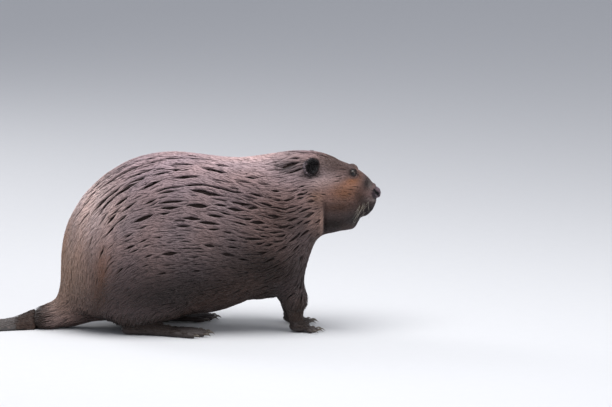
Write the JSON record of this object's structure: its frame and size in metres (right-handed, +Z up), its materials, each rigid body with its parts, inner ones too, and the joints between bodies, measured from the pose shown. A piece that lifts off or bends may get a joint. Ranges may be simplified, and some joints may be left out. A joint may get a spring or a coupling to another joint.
{
  "type": "beaver figure",
  "caption": "Life-size still model of an adult beaver standing hunched on all fours, wet coat, flat scaly tail laid out behind it.",
  "frame": {"origin": "on the floor below the middle of the whole length and width", "axes": "+X towards the nose, +Y to the animal's left, +Z up"},
  "size_m": [0.8897, 0.2844, 0.3429],
  "materials": {
    "coat": "wet guard hair in flat clumps, dark underfur in the partings",
    "face_coat": "short damp hair, rusty brown on the cheeks",
    "ear_skin": "dark skin with very short hair",
    "nose_skin": "moist, finely grained",
    "foot_skin": "dark scaly skin",
    "tail_skin": "leathery scales",
    "claw": "smooth horn",
    "eye": "wet and glossy"
  },
  "bodies": {
    "root": {"head": "face_coat", "neck": "coat", "trunk": "coat", "tail_root": "coat", "tail_paddle": "tail_skin", "nose": "nose_skin", "eye_right": "eye", "ear_right": "ear_skin", "hindleg_right": "coat", "foreleg_right": "coat", "hindfoot_right": "foot_skin", "forefoot_right": "foot_skin", "hindfoot_right_claw_1": "claw", "hindfoot_right_claw_2": "claw", "hindfoot_right_claw_3": "claw", "hindfoot_right_claw_4": "claw", "hindfoot_right_claw_5": "claw", "forefoot_right_claw_1": "claw", "forefoot_right_claw_2": "claw", "forefoot_right_claw_3": "claw", "forefoot_right_claw_4": "claw", "forefoot_right_claw_5": "claw", "eye_left": "eye", "ear_left": "ear_skin", "hindleg_left": "coat", "foreleg_left": "coat", "hindfoot_left": "foot_skin", "forefoot_left": "foot_skin", "hindfoot_left_claw_1": "claw", "hindfoot_left_claw_2": "claw", "hindfoot_left_claw_3": "claw", "hindfoot_left_claw_4": "claw", "hindfoot_left_claw_5": "claw", "forefoot_left_claw_1": "claw", "forefoot_left_claw_2": "claw", "forefoot_left_claw_3": "claw", "forefoot_left_claw_4": "claw", "forefoot_left_claw_5": "claw"}
  },
  "joints": []
}
